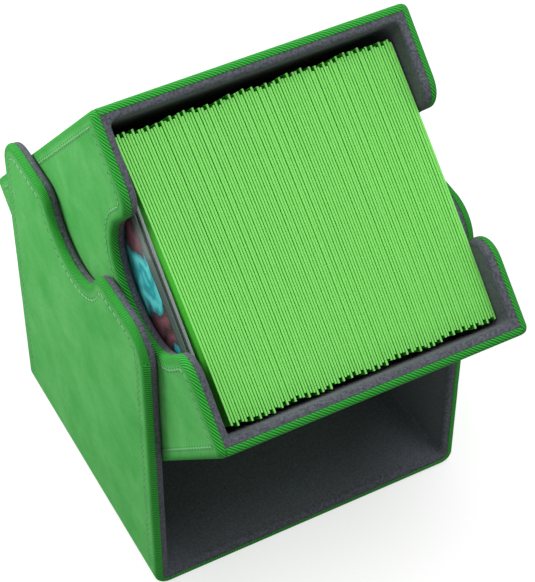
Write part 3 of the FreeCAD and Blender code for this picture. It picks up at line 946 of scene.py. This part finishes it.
def sleeve_finish():
    """Matt green film, a little different from sleeve to sleeve, with a painted highlight along the
    weld.
    """
    finish, tree = new_finish("matt green film")
    place_in = node(tree, "UVMap", {}, uv_map="sleeve").outputs[0]
    parts = node(tree, "SeparateXYZ", {0: place_in}).outputs
    spot = node(tree, "TexCoord", {}).outputs["Object"]
    grain = node(tree, "TexNoise", {"Vector": spot, "Scale": 2200.0, "Detail": 2.0}).outputs["Fac"]
    batch = node(tree, "TexWhiteNoise", {"W": parts[0]}, noise_dimensions="1D").outputs["Value"]
    # Painted highlight: the film is coloured lighter at the weld, where the ridge tops catch the
    # light.
    weld_highlight = node(tree, "MapRange", {0: parts[1], 1: 0.02, 2: 0.14, 3: 1.0, 4: 0.0}).outputs[0]
    body = mixed(tree, batch, dye(62, 178, 42), dye(80, 190, 57))
    shaded = mixed(tree, reckon(tree, "MULTIPLY", grain, 0.3), body, dye(52, 162, 36))
    colour = mixed(tree, weld_highlight, shaded, dye(122, 208, 98))
    coated(tree, colour, grain, 0.02, Roughness=0.55, Specular_IOR_Level=0.15)
    return finish


shell = bmesh.new()
marks = shell.loops.layers.uv.new("sleeve")
for i in range(deck_count):
    start = first_sleeve + i * sleeve_pitch
    sleeve_mesh(shell, marks, start, i, sleeve_bow, rng.uniform(-sleeve_uneven, 0.0))
bmesh.ops.recalc_face_normals(shell, faces=shell.faces)
deck = make_piece("deck_green_sleeves", shell, sleeve_finish(), "deck")
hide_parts("deck_sleeves")

# Deck, cards: one in each sleeve, cut from white-cored board with a coated face. They bow and lean
# as the sleeves do, and the film hides them.
stock, tree = new_finish("coated card stock")
spot = node(tree, "TexCoord", {}).outputs["Object"]
core = node(tree, "TexNoise", {"Vector": spot, "Scale": 1800.0, "Detail": 3.0}).outputs["Fac"]
coated(tree, mixed(tree, core, dye(206, 204, 198), dye(232, 230, 224)), core, 0.01, Roughness=0.5)


def card_mesh(shell, i):
    """Adds the card in sleeve i."""
    start = first_sleeve + i * sleeve_pitch + card_within
    near = -room_back + play + stand_back(i) + card_inset
    top = sleeve_foot + card_tall
    rows = []
    for x, up in ((0, sleeve_foot), (0, top), (card_thick, top), (card_thick, sleeve_foot)):
        places = [stood(i, start, sleeve_bow, x, near + card_wide * k / along_steps, up)
                  for k in range(along_steps + 1)]
        rows.append([shell.verts.new(place) for place in places])
    for first, second in zip(rows, rows[1:] + rows[:1]):
        for k in range(along_steps):
            shell.faces.new((first[k], first[k + 1], second[k + 1], second[k]))
    for k in (0, along_steps):
        shell.faces.new([row[k] for row in rows])


shell = bmesh.new()
for i in range(deck_count):
    card_mesh(shell, i)
bmesh.ops.recalc_face_normals(shell, faces=shell.faces)
cards = make_piece("deck_white_cards", shell, stock, "deck")
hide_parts("deck_cards")

# Front card: a printed card in a clear sleeve at the left end of the tray, so that its picture
# shows in the thumb notch. The picture here is a plain pattern of teal and brown waves.
card_front = -room_back + play + stand_back(0) + card_inset
card_x = -room_x + play + card_within
card_round = 3.0
uv_unit = 10
print_edge = 0.30
print_line = 0.36
hearts = [(card_front + (card_wide - card_round if x > 0 else card_round),
           sleeve_foot + (card_tall - card_round if y > 0 else card_round)) for x, y in corners]
card_parts = [arc(heart, card_round, (i - 1) * quarter, i * quarter, 8)
              for i, heart in enumerate(hearts)]
rings = [(0.04, 0.3, 0), (0, 0.26, 0.1), (0, 0.04, 0.3), (0.04, 0, 0.4), (0.5, 0, 0.9), (2.9, 0, 3.3)]
shell = bound_panel(joined(card_parts, 3.0), rings,
                    lambda back, up, depth: leaned(card_x + depth, back, up))
printed = shell.loops.layers.uv.new("print")
for face in shell.faces:
    for corner in face.loops:
        x, y, z = (value / MM for value in corner.vert.co)
        back = y * math.cos(lean) + (z - axis_height) * math.sin(lean)
        up = (z - axis_height) * math.cos(lean) - y * math.sin(lean)
        corner[printed].uv = ((back - card_front) / uv_unit, (up - sleeve_foot) / uv_unit)

picture, tree = new_finish("printed card")
on_card = node(tree, "UVMap", {}, uv_map="print").outputs[0]
parts = node(tree, "SeparateXYZ", {0: on_card}).outputs
stir = node(tree, "TexNoise", {"Vector": on_card, "Scale": 0.9, "Detail": 3.0,
                               "Roughness": 0.55}).outputs["Fac"]
swell = reckon(tree, "MULTIPLY_ADD", parts[0], 2.1, reckon(tree, "MULTIPLY", stir, 6.5))
bands = reckon(tree, "MULTIPLY_ADD", reckon(tree, "SINE", reckon(tree, "ADD", swell, 0.4)), 0.5, 0.5)
ripples = reckon(tree, "SINE", reckon(tree, "MULTIPLY", swell, 4.0))
fine_bands = reckon(tree, "MULTIPLY_ADD", ripples, 0.5, 0.5)
teal = mixed(tree, fine_bands, dye(8, 150, 158), dye(84, 206, 204))
brown = mixed(tree, fine_bands, dye(58, 18, 26), dye(126, 66, 78))
split = node(tree, "MapRange", {0: bands, 1: 0.44, 2: 0.56, 3: 0.0, 4: 1.0}).outputs[0]
waves = mixed(tree, split, teal, brown)
to_right = reckon(tree, "SUBTRACT", card_wide / uv_unit, parts[0])
from_side = reckon(tree, "MINIMUM", parts[0], to_right)
to_top = reckon(tree, "SUBTRACT", card_tall / uv_unit, parts[1])
from_end = reckon(tree, "MINIMUM", parts[1], to_top)
margin = reckon(tree, "MINIMUM", from_side, from_end)
line = mixed(tree, reckon(tree, "GREATER_THAN", margin, print_line), dye(10, 12, 12), waves)
border = mixed(tree, reckon(tree, "GREATER_THAN", margin, print_edge), dye(66, 82, 76), line)
ink = node(tree, "TexNoise", {"Vector": on_card, "Scale": 60.0}).outputs["Fac"]
coated(tree, border, ink, 0.004, Roughness=0.3)
front_card = make_piece("front_card_print", shell, picture, "front_card")
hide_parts("front_card")

film, tree = new_finish("clear film")
place_in = node(tree, "UVMap", {}, uv_map="sleeve").outputs[0]
from_weld = node(tree, "SeparateXYZ", {0: place_in}).outputs[1]
haze = node(tree, "MapRange", {0: from_weld, 1: 0.1, 2: 0.9, 3: 0.5, 4: 0.07}).outputs[0]
spot = node(tree, "TexCoord", {}).outputs["Object"]
ripple = node(tree, "TexNoise", {"Vector": spot, "Scale": 160.0})
tint = mixed(tree, ripple.outputs["Fac"], dye(140, 148, 152), dye(176, 184, 186))
surface = coated(tree, tint, ripple.outputs["Fac"], 0.15, Roughness=0.16)
tree.links.new(haze, surface.inputs["Alpha"])
shell = bmesh.new()
marks = shell.loops.layers.uv.new("sleeve")
sleeve_mesh(shell, marks, -room_x + play, 0, 0.0, 0.0)
bmesh.ops.recalc_face_normals(shell, faces=shell.faces)
front_sleeve = make_piece("front_card_clear_sleeve", shell, film, "front_card")
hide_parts("front_sleeve")
